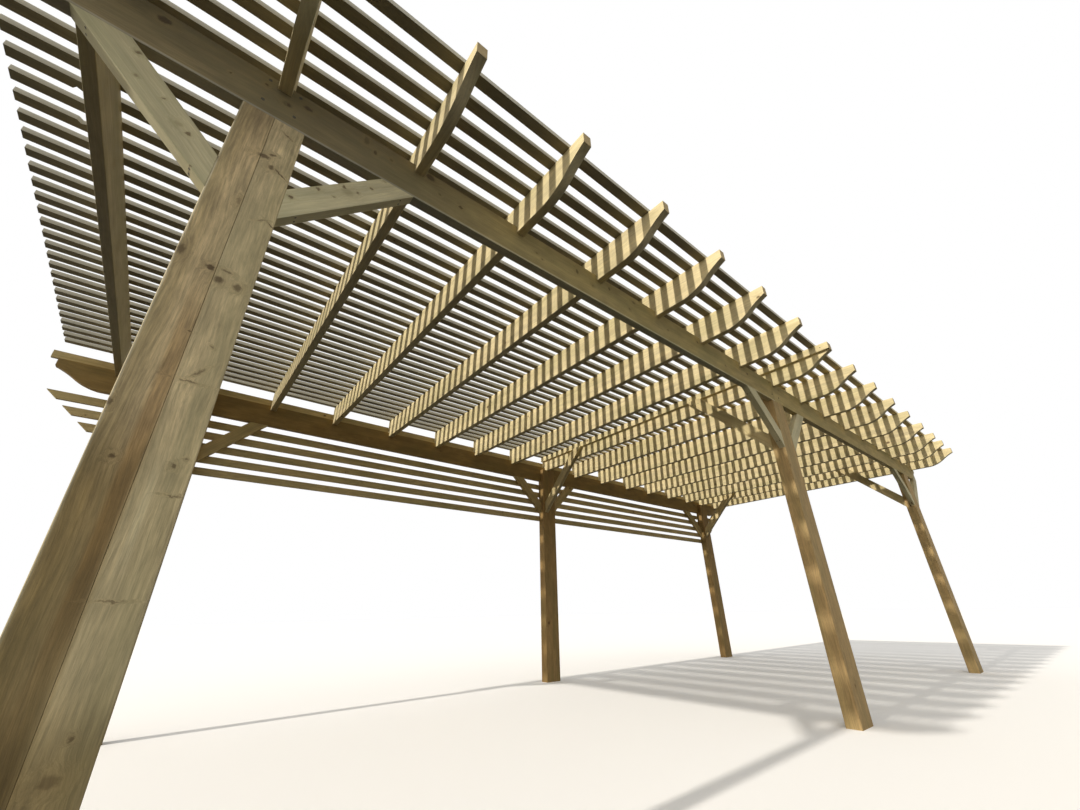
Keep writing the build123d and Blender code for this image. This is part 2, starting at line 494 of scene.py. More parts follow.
        # Fibres are streaks from 7 mm down to 2 mm wide and a hand long, drawn coarser than real ones
        fibre = patches(tree, flow, 9.0, 140.0, 4.0, 0.72)["Fac"]
        # Broad streaks are about 40 mm wide and an arm long, and mottle is 60 by 140 mm
        streak = patches(tree, flow, 1.3, 26.0, 2.0)["Fac"]
        mottle = patches(tree, moved, 7.0, 17.0, 3.0)["Fac"]
        streaky = 0.18
        # Most of a noise's values lie between these two
        low, high = 0.35, 0.65
        grown = {0: ring_share, 6: linear(self.early), 7: linear(self.late)}
        colour = add_node(tree, "Mix", grown, data_type="RGBA")[2]
        own = add_node(tree, "SeparateColor", (chance,))[0]
        tone = add_node(tree, "MapRange", (own, 0.0, 1.0, 1.0 - self.tone / 2, 1.0 + self.tone / 2))[0]
        for value, spread in ((streak, streaky), (fibre, self.fuzz), (mottle, self.mottle)):
            part = add_node(tree, "MapRange", (value, low, high, 1.0 - spread / 2, 1.0 + spread / 2))[0]
            tone = add_node(tree, "Math", (tone, part), operation="MULTIPLY")[0]
        toned = add_node(tree, "VectorMath", {0: colour, "Scale": tone}, operation="SCALE")[0]
        # Treatment salts leave soft green blotches a hand to an arm long, at most half as strong
        blotch = patches(tree, shifted, 1.8, 9.0, 3.0)["Fac"]
        greening = (0.42, 0.72, 0.0, 0.5)
        share = add_node(tree, "MapRange", (blotch, *greening))[0]
        return add_node(tree, "Mix", {0: share, 6: toned, 7: linear(self.green)}, data_type="RGBA")[2], fibre

    def weathered_and_lit(self, tree: Tree, facing: Socket) -> list[tuple[Socket, str]]:
        """Tell the faces that the weather bleaches, which are also paler as painted light; undersides keep
        their colour.

        Args:
            tree: The material's node tree.
            facing: The direction of the face.

        Returns:
            Shares, each with its colour.
        """
        side_from, side_to = -0.6, -0.1
        top_fade = (0.3, 0.8, 0.0, 0.7)
        upward = add_node(tree, "SeparateXYZ", (facing,))["Z"]
        # Painted light in part: all faces but the undersides turn paler, for the light falling on them as
        # well as the weather
        sides = add_node(tree, "MapRange", (upward, side_from, side_to, 0.0, self.bleach_and_light))[0]
        tops = add_node(tree, "MapRange", (upward, *top_fade))[0]
        return [(sides, self.bleached_and_lit), (tops, self.topside)]

    def sawn_ends(self, tree: Tree, facing: Socket, grain: Grain, mirror: Socket | None) -> Socket:
        """Tell the sawn ends, which are where the face looks along the grain.

        Args:
            tree: The material's node tree.
            facing: The direction of the face.
            grain: The direction of the grain.
            mirror: The factor that mirrors a direction, where two boards mirror each other.

        Returns:
            How much of the end grain's colour shows.
        """
        if mirror:
            facing = add_node(tree, "VectorMath", (facing, mirror), operation="MULTIPLY")[0]
        end_fade = (0.8, 0.95, 0.0, 0.7)
        fibres = tuple(Vector(grain.value).normalized())
        aligned = add_node(tree, "VectorMath", (facing, fibres), operation="DOT_PRODUCT")["Value"]
        across = add_node(tree, "Math", (aligned,), operation="ABSOLUTE")[0]
        return add_node(tree, "MapRange", (across, *end_fade))[0]

    def make(self, name: str, place: BoardPlace, detail: FaceDetail | None = None) -> bpy.types.Material:
        """Make the finish for the boards of one node.

        Args:
            name: The node's name.
            place: Where the boards lie.
            detail: Listed knots, cracks and washes, if the node has any.

        Returns:
            The material.
        """
        surface = "sawn" if self.saw else "planed"
        material = bpy.data.materials.new(f"treated softwood, {surface}, {name}")
        tree = cleared_tree(material)
        board, chance, mirror = self.board(tree, place)
        shifted = add_node(tree, "VectorMath", (chance, self.own_shift, board), operation="MULTIPLY_ADD")[0]
        if detail and detail.marks:
            heart, halo = self.placed_marks(tree, detail)
        else:
            heart, halo = self.knots(tree, shifted)

        # The grain sways a few centimetres off the board's own line, and bends 14 mm round knots
        sway = (0.0, 0.06, 0.06)
        bend = (0.0, 0.014, 0.014)
        wander = patches(tree, shifted, 1.6, 5.0, 2.0)["Color"]
        swayed = add_node(tree, "VectorMath", (wander, sway, board), operation="MULTIPLY_ADD")[0]
        moved = add_node(tree, "VectorMath", (chance, self.own_shift, swayed), operation="MULTIPLY_ADD")[0]
        flow = add_node(tree, "VectorMath", (halo, bend, moved), operation="MULTIPLY_ADD")[0]
        late = self.ringed(tree, swayed, chance, halo)
        ring_share = add_node(tree, "Math", (late, self.rings), operation="MULTIPLY")[0]
        colour, fibre = self.clear_wood(tree, chance, shifted, moved, flow, ring_share)
        if detail:
            colour = self.washed(tree, colour, detail)

        # Knots have a brown heart and a warmer ring of bent grain
        warmth = 0.3
        warm_share = add_node(tree, "Math", (halo, warmth), operation="MULTIPLY")[0]
        layers = [(warm_share, self.late), (heart, self.knot)]
        facing = add_node(tree, "NewGeometry")["Normal"]
        if self.bleach_and_light:
            layers += self.weathered_and_lit(tree, facing)
        layers.append((self.sawn_ends(tree, facing, place.grain, mirror), self.end))
        for share, tint in layers:
            colour = add_node(tree, "Mix", {0: share, 6: colour, 7: linear(tint)}, data_type="RGBA")[2]

        # Late wood stands half as high as a fibre, since it wears less
        ring_height = 0.5
        height = add_node(tree, "Math", (ring_share, ring_height, fibre), operation="MULTIPLY_ADD")[0]
        if self.saw:
            # The band saw leaves uneven lines across the face, about 9 mm apart
            saw = patches(tree, board, 110.0, 5.0, 1.0)["Fac"]
            height = add_node(tree, "Math", (saw, self.saw, height), operation="MULTIPLY_ADD")[0]
        bump = add_node(tree, "Bump", {"Height": height, "Strength": 0.6, "Distance": 1.2 * MM})[0]
        sheens = (0.3, 0.7, self.roughness - 0.07, self.roughness + 0.08)
        sheen = add_node(tree, "MapRange", (fibre, *sheens))[0]
        looks = {"Base Color": colour, "Roughness": sheen, "IOR": 1.5, "Specular IOR Level": 0.3}
        shader = add_node(tree, "BsdfPrincipled", {**looks, "Normal": bump})[0]
        add_node(tree, "OutputMaterial", {"Surface": shader})
        return material


@dataclass(frozen=True)
class CoatedSteel:
    """Steel of screws and nails under a coat or zinc that has gone dull, so that it hardly mirrors.

    Args:
        name: The material's name.
        colour: The surface's colour.
        roughness: Its roughness.
        metallic: Share of bare metal.
    """

    name: str
    colour: str
    roughness: float
    metallic: float

    def make(self) -> bpy.types.Material:
        """Make the finish.

        Returns:
            The material.
        """
        material = bpy.data.materials.new(self.name)
        tree = cleared_tree(material)
        source = add_node(tree, "TexCoord")["Object"]
        # Specks of grime are 2.5 mm across
        grime = add_node(tree, "TexNoise", {"Vector": source, "Scale": 400.0, "Detail": 2.0})["Fac"]
        worn = add_node(tree, "MapRange", (grime, 0.0, 1.0, self.roughness - 0.1, self.roughness + 0.15))[0]
        looks = {"Base Color": linear(self.colour), "Roughness": worn, "Metallic": self.metallic}
        shader = add_node(tree, "BsdfPrincipled", looks)[0]
        add_node(tree, "OutputMaterial", {"Surface": shader})
        return material


@dataclass(frozen=True)
class Fastener:
    """A screw's or nail's head, which is all that shows of it.

    Args:
        radius: Radius of the head in millimetres.
        proud: How far the head stands out of the timber in millimetres.
        recess: Radius of the driver's recess in millimetres, or 0 for a nail.
        sides: Number of sides of the head.
        narrowing: Radius of its outer end as a share of its radius.
        sunk: Depth of the recess as a share of how far the head stands out.
    """

    radius: float
    proud: float
    recess: float
    sides: int
    narrowing: float = 0.82
    sunk: float = 0.9

    def template(self) -> bpy.types.Mesh:
        """Make one head, standing along Z on the timber's face.

        Returns:
            The head's mesh.
        """
        outer = self.radius * self.narrowing
        shape = bmesh.new()
        bmesh.ops.create_cone(
            shape,
            cap_ends=True,
            cap_tris=False,
            segments=self.sides,
            radius1=self.radius * MM,
            radius2=outer * MM,
            depth=self.proud * 2 * MM,
        )
        if self.recess:
            top = max(shape.faces, key=lambda face: face.calc_center_median().z)
            bmesh.ops.inset_individual(shape, faces=[top], thickness=(outer - self.recess) * MM)
            bmesh.ops.translate(shape, vec=(0, 0, -self.proud * self.sunk * MM), verts=top.verts[:])
        mesh = bpy.data.meshes.new("fastener_head")
        shape.to_mesh(mesh)
        shape.free()
        return mesh

    def scatter(self, name: str, places: list[Place]) -> bpy.types.Object:
        """Set a head at each place as one piece.

        Args:
            name: The piece's name.
            places: Points on the timber in metres, each with the direction out of it.

        Returns:
            The piece.
        """
        head = self.template()
        shape = bmesh.new()
        for point, outward in places:
            before = len(shape.verts)
            shape.from_mesh(head)
            shape.verts.ensure_lookup_table()
            turn = outward.to_track_quat("Z", "Y").to_matrix().to_4x4()
            bmesh.ops.transform(shape, matrix=Matrix.Translation(point) @ turn, verts=shape.verts[before:])
        bpy.data.meshes.remove(head)
        return add_piece(name, shape)


TIMBER_SCREW = Fastener(radius=7.0, proud=1.6, recess=3.2, sides=12)
DECK_SCREW = Fastener(radius=4.6, proud=0.7, recess=2.2, sides=10)
NAIL = Fastener(radius=3.6, proud=0.6, recess=0.0, sides=8)


@dataclass
class SubAssembly:
    """What the pergola's sub-assemblies share.

    Args:
        nodes: The frame's CAD nodes by name.
        steel: The finishes of the fasteners by name.
    """

    nodes: dict[str, bpy.types.Object]
    steel: dict[str, bpy.types.Material]

    def named(self, start: str) -> list[str]:
        """Give the names of the nodes that start with these letters, in order."""
        return sorted(name for name in self.nodes if name.startswith(start))

    def rafters(self) -> list[str]:
        """Give the names of the rafters in order, without the strip beside one of them."""
        return self.named("rafter_0") + self.named("rafter_1")

    def middle(self, name: str) -> tuple[float, float, float]:
        """Give the middle of a node's box in metres."""
        low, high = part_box(name)
        return tuple((low + high) / 2)

    def dress(
        self, name: str, wood: Softwood, place: BoardPlace, detail: FaceDetail | None = None
    ) -> bpy.types.Material:
        """Give a CAD node its finish.

        Args:
            name: The node's name.
            wood: The softwood that it is made of.
            place: Where its boards lie.
            detail: Listed knots, cracks and washes, if it has any.

        Returns:
            The finish.
        """
        finish = wood.make(name, place, detail)
        mesh = self.nodes[name].data
        mesh.materials.clear()
        mesh.materials.append(finish)
        LOG.info("%s dressed", name)
        return finish

    def fix(self, name: str, kind: Fastener, finish: str, places: list[Place], slot: str) -> None:
        """Add one piece that holds like fasteners.

        Args:
            name: The piece's name.
            kind: The fastener.
            finish: Which steel it has.
            places: Points on the timber with the direction out of it.
            slot: The material slot of the timber that it holds; not used.
        """
        piece = kind.scatter(name, places)
        piece.data.materials.append(self.steel[finish])
        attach(piece, "root")
        LOG.info("%s: %d heads", name, len(places))


@dataclass
class Posts(SubAssembly):
    """Six posts, each of two sawn timbers side by side.

    Args:
        timber_wide: Width of one timber in metres.
        seen_marks: Knots and cracks on the face of the near front post.
        seen_washes: Its stretches of another colour; some are painted shade and one is a painted highlight.
    """

    timber_wide: float = 0.1
    seen_marks: tuple[Mark, ...] = (
        Mark(10, 2172, 22, 11, 0.75, -12),
        Mark(32, 2196, 14, 6, 0.65, -25),
        Mark(38, 2138, 11, 14, 0.75),
        Mark(72, 2125, 4, 33, 0.75, -55),
        Mark(55, 2318, 2.5, 16, 0.6, -60),
        Mark(62, 1899, 2.5, 17, 0.45, 60),
        Mark(88, 1893, 2.5, 16, 0.7, -50),
        Mark(-10, 1935, 7, 18, 0.45),
        Mark(-100, 2070, 6, 9, 0.6),
        Mark(-90, 1682, 12, 22, 0.65),
        Mark(-13, 1655, 13, 11, 0.85),
        Mark(26, 1661, 18, 6, 0.55, 10),
        Mark(14, 1625, 14, 15, 0.75),
        Mark(60, 1619, 14, 14, 0.65, 20),
        Mark(-5, 1434, 6, 3, 0.7),
        Mark(53, 1407, 6, 3, 0.45, 30),
        Mark(45, 1321, 3.5, 22, 0.5, 40),
        Mark(30, 1291, 27, 3, 0.55, 4),
        Mark(-97, 1197, 8, 12, 0.6),
        Mark(-52, 1068, 8, 8, 0.75),
        Mark(62, 1064, 7, 8, 0.65),
        Mark(80, 1085, 5, 4, 0.6),
        Mark(80, 994, 18, 2, 0.5),
        Mark(35, 762, 27, 2, 0.5),
        Mark(52, 524, 6, 6, 0.6),
        Mark(45, 459, 18, 13, 0.45),
    )
    seen_washes: tuple[Wash, ...] = (
        Wash(50, 1400, 50, 1500, "#D0BE94", 0.75, 0.03),
        Wash(78, 1500, 24, 1600, "#AD9E75", 0.45, 0.7),
        Wash(-80, 1250, 22, 1300, "#A9966A", 0.4, 0.6),
        # Painted shade: a darker brown band on the left timber beside the seam, where the right timber stands
        # prouder
        Wash(-17, 1090, 17, 420, "#A38559", 0.7, 0.45),
        # Painted highlight: a pale line down the post's left edge, where the light catches the rounded arris
        Wash(-98, 1400, 3, 1400, "#DCD4B9", 0.6, 0.5),
        Wash(33, 950, 8, 110, "#D8C69C", 0.6, 0.6),
        Wash(-50, 2400, 55, 230, "#96815C", 0.5, 0.8),
        # Painted shade: the foot and the lower left timber are darker, for the shade near the deck
        Wash(0, 330, 130, 220, "#947F55", 0.9, 0.5),
        Wash(-50, 640, 50, 480, "#947F55", 0.9, 0.3),
    )

    def build(self) -> None:
        """Dress every post; the near front one has its own knots, cracks and washes."""
        sawn = Softwood(rings=0.2, fuzz=0.4, saw=0.2, tone=0.14, roughness=0.8)
        front = replace(sawn, early="#B89C6C", late="#8B7348", green="#95895C")
        # Painted shade: the back posts are darker and browner than the front ones, for the shade they stand
        # in
        back = replace(sawn, early="#A28453", late="#7A6138", green="#7D7446")
        worn = replace(sawn, knot="#46331F", rings=0.25, fuzz=0.6, mottle=0.34, saw=0.15, tone=0.0)
        near = replace(worn, early="#C2AE85", late="#9A865C", green="#A59A74")
        for number, name in enumerate(self.named("post_")):
            middle = self.middle(name)
            place = BoardPlace(middle, Grain.UPRIGHT, 3.0 + number * 11, stacked="X", pitch=self.timber_wide)
            if name == NEAR_POST:
                self.dress(name, near, place, FaceDetail(middle[0], self.seen_marks, self.seen_washes))
            else:
                self.dress(name, front if "front" in name else back, place)


@dataclass
class Beams(SubAssembly):
    """Two beams, each in two lengths, screwed to the posts from outside.

    Args:
        seen_marks: Knots on the face of the near front beam.
        seen_washes: Its stretches of another colour, which are painted shade and a painted highlight.
        screw_from_middle: Distance of the screws from a post's middle line in metres.
        low_screw: Height of the lower screw in metres.
        high_screw: Height of the upper screw in metres.
        joint_side: Their distance on the side where a middle post has the joint.
    """

    seen_marks: tuple[Mark, ...] = (
        Mark(-520, 2440, 9, 8, 0.5),
        Mark(-360, 2530, 21, 18),
        Mark(-57, 2515, 9, 9, 0.7),
        Mark(24, 2477, 9, 9),
        Mark(20, 2478, 21, 16, 0.4),
        Mark(85, 2518, 20, 13, 0.75),
        Mark(-160, 2578, 12, 7, 0.4),
        Mark(-160, 2468, 6, 5, 0.6),
        Mark(310, 2535, 12, 25, 0.4),
        Mark(352, 2497, 9, 13, 0.7),
        Mark(420, 2510, 9, 8, 0.4),
        Mark(600, 2548, 26, 22, 0.7),
        Mark(655, 2475, 9, 8, 0.4),
        Mark(765, 2472, 13, 11, 0.7),
        Mark(1228, 2466, 12, 7, 0.45),
        Mark(1266, 2443, 8, 8, 0.5),
        Mark(1530, 2508, 13, 20, 0.6),
        Mark(1655, 2470, 10, 8, 0.4),
        Mark(1805, 2522, 11, 17, 0.6),
        Mark(1985, 2455, 12, 10, 0.45),
        Mark(2035, 2530, 22, 14, 0.45),
        Mark(2390, 2470, 12, 9, 0.5),
        Mark(2760, 2520, 16, 14, 0.6),
        Mark(3130, 2450, 10, 9, 0.5),
        Mark(3490, 2500, 18, 13, 0.6),
    )
    seen_washes: tuple[Wash, ...] = (
        # Painted shade: the near length of the beam is darker and greyer, for the shade under the eaves
        Wash(-450, 2472, 1200, 200, "#877A5A", 0.9, 0.4),
        # Painted highlight: a pale line along the beam's lower edge, where the light catches the rounded
        # arris
        Wash(1500, 2374, 2600, 7, "#E6DCB2", 0.8, 0.5),
    )
    screw_from_middle: float = 0.052
    low_screw: float = 2.432
    high_screw: float = 2.549
    joint_side: float = 0.074

    def build(self) -> None:
        """Dress the beams and add their screws."""
        planed = Softwood(knot="#3C2C1A", rings=0.25, mottle=0.26, tone=0.1)
        front = replace(planed, early="#B5A26C", late="#917E4F", green="#8D8555")
        # Painted shade: the back beam is darker and browner than the front one, for the shade it lies in
        back = replace(planed, early="#987D49", late="#796138", green="#776A3D")
        seen = FaceDetail(self.middle(NEAR_POST)[0], self.seen_marks, self.seen_washes)
        for number, name in enumerate(self.named("beam_")):
            place = BoardPlace(self.middle(name), Grain.ALONG, 101.0 + number * 7)
            detail = seen if name == "beam_front_near" else None
            self.dress(name, front if "front" in name else back, place, detail)
        places = []
        for name in self.named("post_"):
            low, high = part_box(name)
            line = (low.x + high.x) / 2
            at_front = "front" in name
            face = low.y if at_front else high.y
            outward = Vector((0, -1 if at_front else 1, 0))
            left = self.joint_side if "middle" in name else self.screw_from_middle
            for along in (-left, self.screw_from_middle):
                for height in (self.low_screw, self.high_screw):
                    places.append((Vector((line + along, face, height)), outward))
        self.fix("beam_screws", TIMBER_SCREW, "coated", places, "beam_timber")


@dataclass
class Rafters(SubAssembly):
    """Seventeen rafters and the strip beside one of them.

    Args:
        skew_above_beam: Height of the skew screws above the beam's top in metres.
        strip_screw_pitch: Spacing of the strip's screws in metres.
        strip_inset: Distance of its first screw from its end in metres.
        strip_clear: Length at its two ends together that has no screws in metres.
    """

    skew_above_beam: float = 0.028
    strip_screw_pitch: float = 0.42
    strip_inset: float = 0.06
    strip_clear: float = 0.1

    def build(self) -> None:
        """Dress the rafters and add their skew screws and the strip's screws."""
        planed = Softwood(early="#E3D4A8", late="#C6B17E", green="#B8B07C", rings=0.4, tone=0.14)
        # Painted shade: the near end rafter, rafter_01, gets a darker copy of the same wood for the shade on
        # its faces
        dull = replace(planed, early="#B2A580", late="#9B8A62", green="#908A61")
        for number, name in enumerate(self.named("rafter_")):
            place = BoardPlace(self.middle(name), Grain.ACROSS, 211.0 + number * 5)
            self.dress(name, dull if name == "rafter_01" else planed, place)
        front_low, front_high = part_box("beam_front_near")
        back_low, back_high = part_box("beam_back_near")
        height = front_high.z + self.skew_above_beam
        left, right = Vector((-1, 0, 0)), Vector((1, 0, 0))
        places = []
        for name in self.rafters():
            low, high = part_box(name)
            for y in ((front_low.y + front_high.y) / 2, (back_low.y + back_high.y) / 2):
                places += [(Vector((low.x, y, height)), left), (Vector((high.x, y, height)), right)]
        low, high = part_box("rafter_side_strip")
        count = int((high.y - low.y - self.strip_clear) / self.strip_screw_pitch)
        for step in range(count + 1):
            y = low.y + self.strip_inset + step * self.strip_screw_pitch
            places.append((Vector((low.x, y, (low.z + high.z) / 2)), left))
        self.fix("rafter_screws", DECK_SCREW, "coated", places, "rafter_timber")


@dataclass
class Braces(SubAssembly):
    """Knee braces along the beams and cross braces up to the rafters.

    Args:
        screw_inset: Distance of a screw from the brace's end along its lower edge in metres.
        screw_apart: Distance between the two screws across its thickness in metres.
        post_half: Half the width of a post's face in metres.
        lap_below: How far the screws of a cross brace's lap are below its top in metres.
        lap_screws: Distances of those two screws from its lower edge in metres.
        head_long: Length of a knee brace's head under the beam in metres.
        head_steps: Number of steps in which a head follows a beam's curved end.
        seen_marks: Knots on the faces of the two knee braces at the near front post.
    """

    screw_inset: float = 0.07
    screw_apart: float = 0.022
    post_half: float = 0.1
    lap_below: float = 0.05
    lap_screws: tuple[float, float] = (0.01, 0.075)
    head_long: float = 0.141
    head_steps: int = 12
    seen_marks: tuple[Mark, ...] = (
        Mark(-368, 2325, 9, 8, 0.7),
        Mark(-345, 2230, 6, 5, 0.4),
        Mark(-268, 2195, 6, 5, 0.6),
        Mark(-185, 2105, 10, 9, 0.75),
        Mark(-215, 2125, 14, 12, 0.25),
        Mark(-148, 1985, 5, 4, 0.6),
        Mark(270, 2222, 10, 9, 0.8),
        Mark(285, 2205, 25, 20, 0.25),
        Mark(322, 2228, 8, 6, 0.6),
        Mark(365, 2288, 8, 7, 0.7),
        Mark(190, 2150, 10, 9, 0.75),
        Mark(245, 2150, 6, 5, 0.5),
        Mark(118, 2050, 11, 9, 0.8),
        Mark(410, 2365, 9, 7, 0.3),
    )

    def close_head(self, name: str, beam: str, finish: bpy.types.Material) -> None:
        """Carry the outer brace at a far post up to the beam, whose shaped end curves away above it.

        Args:
            name: The node of the knee braces.
            beam: The node of the beam above them.
            finish: The braces' finish.
        """
        low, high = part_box(name)
        node = self.nodes[beam]
        underside = BVHTree.FromPolygons(
            [node.matrix_world @ vertex.co for vertex in node.data.vertices],
            [tuple(polygon.vertices) for polygon in node.data.polygons],
        )
        start = high.x - self.head_long
        outline = [Vector((high.x, low.y, high.z)), Vector((start, low.y, high.z))]
        for step in range(self.head_steps + 1):
            x = start + self.head_long * step / self.head_steps
            hit = underside.ray_cast(Vector((x, (low.y + high.y) / 2, low.z)), Vector((0, 0, 1)))[0]
            outline.append(Vector((x, low.y, hit.z)))
        shape = bmesh.new()
        corners = [bmesh.ops.create_vert(shape, co=point)["vert"][0] for point in outline]
        side = bmesh.ops.contextual_create(shape, geom=corners)["faces"]
        grown = bmesh.ops.extrude_face_region(shape, geom=side)["geom"]
        moved = [part for part in grown if isinstance(part, bmesh.types.BMVert)]
        bmesh.ops.translate(shape, vec=(0, high.y - low.y, 0), verts=moved)
        bmesh.ops.recalc_face_normals(shape, faces=shape.faces[:])
        piece = add_piece(name.replace("knee_braces", "knee_brace_head"), shape)
        piece.data.materials.append(finish)
        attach(piece, "root")
        LOG.info("%s added", piece.name)

    def knee_screws(self, name: str) -> list[Place]:
        """Place the screws in a pair of knee braces, two through each end of each lower edge.

        Args:
            name: The node of the knee braces.

        Returns:
            The places.
        """
        low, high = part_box(name)
        line = (low.x + high.x) / 2
        middle = (low.y + high.y) / 2
        apart = Vector((0, self.screw_apart / 2, 0))
        places = []
        for side in (-1, 1):
            outward = Vector((side, 0, -1)).normalized()
            foot = Vector((line + side * self.post_half, middle, low.z))
            head = Vector((high.x if side > 0 else low.x, middle, high.z))
            for end, toward in ((foot, head), (head, foot)):
                point = end + (toward - end).normalized() * self.screw_inset
                places += [(point + apart, outward), (point - apart, outward)]
        return places

    def cross_screws(self, name: str) -> list[Place]:
        """Place the screws in a pair of cross braces, two at each foot and two in each lap.

        Args:
            name: The node of the cross braces.

        Returns:
            The places.
        """
        low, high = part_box(name)
        middle = (low.x + high.x) / 2
        apart = Vector((self.screw_apart / 2, 0, 0))
        places = []
        for side in (-1, 1):
            foot = Vector((middle, high.y if side > 0 else low.y, low.z))
            outward = Vector((0, -side, -1)).normalized()
            rise = Vector((0, -side, 1))
            point = foot + rise.normalized() * self.screw_inset
            places += [(point + apart, outward), (point - apart, outward)]
            lap = foot + rise * (high.z - low.z - self.lap_below)
            for offset in self.lap_screws:
                places.append((Vector((low.x, lap.y + side * offset, lap.z)), Vector((-1, 0, 0))))
        return places

    def build(self) -> None:
        """Dress the braces, close the far heads and add the screws."""
        planed = Softwood(rings=0.3, tone=0.14, knot_every_mm=300.0)
        front = replace(planed, early="#CDC39D", late="#AEA176", green="#A6A57E")
        # Painted shade: the back braces are darker and browner than the front ones, for the shade they lie in
        back = replace(planed, early="#C2AC78", late="#9C8656", green="#989060")
        crossing = replace(planed, early="#D8C696", late="#B49C68", green="#AAA070")
        seen = FaceDetail(self.middle(NEAR_POST)[0], self.seen_marks)
        places = []
        for number, name in enumerate(self.named("knee_braces")):
            x, y, _ = self.middle(name)
            place = BoardPlace((x, y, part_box(name)[1].z), Grain.KNEE, 307.0 + number * 9, mirrored="X")
            detail = seen if name == "knee_braces_front_near" else None
            finish = self.dress(name, front if "front" in name else back, place, detail)
            if name.endswith("far"):
                self.close_head(name, name.replace("knee_braces", "beam"), finish)
            places += self.knee_screws(name)
        for number, name in enumerate(self.named("cross_braces")):
            x, y, _ = self.middle(name)
            place = BoardPlace((x, y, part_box(name)[1].z), Grain.CROSS, 401.0 + number * 9, mirrored="Y")
            self.dress(name, crossing, place)
            places += self.cross_screws(name)
        self.fix("brace_screws", DECK_SCREW, "coated", places, "brace_timber")


@dataclass
class RoofBattens(SubAssembly):
    """Battens over the rafters, in two lengths that meet at the strip.

    Args:
        first_line: Y of the first batten of the regular field in metres.
        pitch: Spacing of the regular field in metres.
        count: Number of battens in the regular field.
        eaves_first: Y of the first batten over the eaves in metres.
        eaves_pitch: Spacing over the eaves in metres.
        eaves_count: Number of battens over the eaves.
        shift: How far the pattern's bounds are moved, so that none falls on a batten over the eaves.
        end_inset: Distance of a nail from a batten's butted end in metres.
        at_joint: How near to the joint the side of the rafter is that carries both lengths in metres.
    """

    first_line: float = -1.379
    pitch: float = 0.1073
    count: int = 31
    eaves_first: float = -1.778
    eaves_pitch: float = 0.09975
    eaves_count: int = 4
    shift: float = 0.01
    end_inset: float = 0.012
    at_joint: float = 0.002

    def build(self) -> None:
        """Dress the battens and nail each one to every rafter that it crosses."""
        sawn = Softwood(rings=0.3, knot_mm=14.0, saw=0.25, tone=0.24)
        far = replace(sawn, early="#CEBC8C", late="#A69060", green="#A29C6C", bleach_and_light=0.5)
        # Painted shade: the near length is a darker, greyer copy of the far one, for the shade at the near
        # end
        near = replace(far, early="#91876B", late="#72684D", green="#716E57", bleach_and_light=0.7)
        for number, name in enumerate(self.named("roof_battens")):
            x, _, z = self.middle(name)
            origin = (x, self.first_line + self.shift, z)
            place = BoardPlace(origin, Grain.ALONG, 503.0 + number * 101, "Y", self.pitch, phase=0.5)
            self.dress(name, near if name.endswith("near") else far, place)
        lines = [self.eaves_first + self.eaves_pitch * step for step in range(self.eaves_count)]
        lines += [self.first_line + self.pitch * step for step in range(self.count)]
        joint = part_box("roof_battens_far")[0].x
        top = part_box("roof_battens_far")[1].z
        crossings = []
        for name in self.rafters():
            low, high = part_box(name)
            if abs(low.x - joint) < self.at_joint:
                crossings += [joint - self.end_inset, joint + self.end_inset]
            else:
                crossings.append((low.x + high.x) / 2)
        places = [(Vector((x, y, top)), Vector((0, 0, 1))) for x in crossings for y in lines]
        self.fix("batten_nails", NAIL, "galvanised", places, "batten_timber")


@dataclass
class Screen(SubAssembly):
    """Slats along the back: five under the beam and one over it.

    Args:
        top_line: Height of the middle of the highest of the five in metres.
        pitch: Spacing of the slats in metres.
        count: Number of slats under the beam.
        from_middle: Distance of a screw from a post's middle line in metres.
    """

    top_line: float = 2.296
    pitch: float = 0.107
    count: int = 5
    from_middle: float = 0.05

    def build(self) -> None:
        """Dress the slats and screw them to the posts and to the ends of the rafters."""
        sawn = Softwood(
            early="#CDB884", late="#A68C58", green="#9C935F", rings=0.3, knot_mm=15.0, saw=0.25, tone=0.26
        )
        for number, name in enumerate(self.named("screen_")):
            x, y, _ = self.middle(name)
            origin = (x, y, self.top_line)
            place = BoardPlace(origin, Grain.ALONG, 907.0 + number * 13, "Z", self.pitch, phase=0.5)
            self.dress(name, sawn, place)
        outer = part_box("screen_slats_near")[1].y
        over = self.middle("screen_top_slat_near")[2]
        heights = [self.top_line - self.pitch * step for step in range(self.count)]
        points = []
        for name in self.named("post_back"):
            line = self.middle(name)[0]
            lines = (line - self.from_middle, line + self.from_middle)
            points += [(x, outer, height) for height in heights for x in lines]
        points += [(self.middle(name)[0], outer, over) for name in self.rafters()]
        places = [(Vector(point), Vector((0, 1, 0))) for point in points]
        self.fix("slat_screws", DECK_SCREW, "coated", places, "slat_timber")


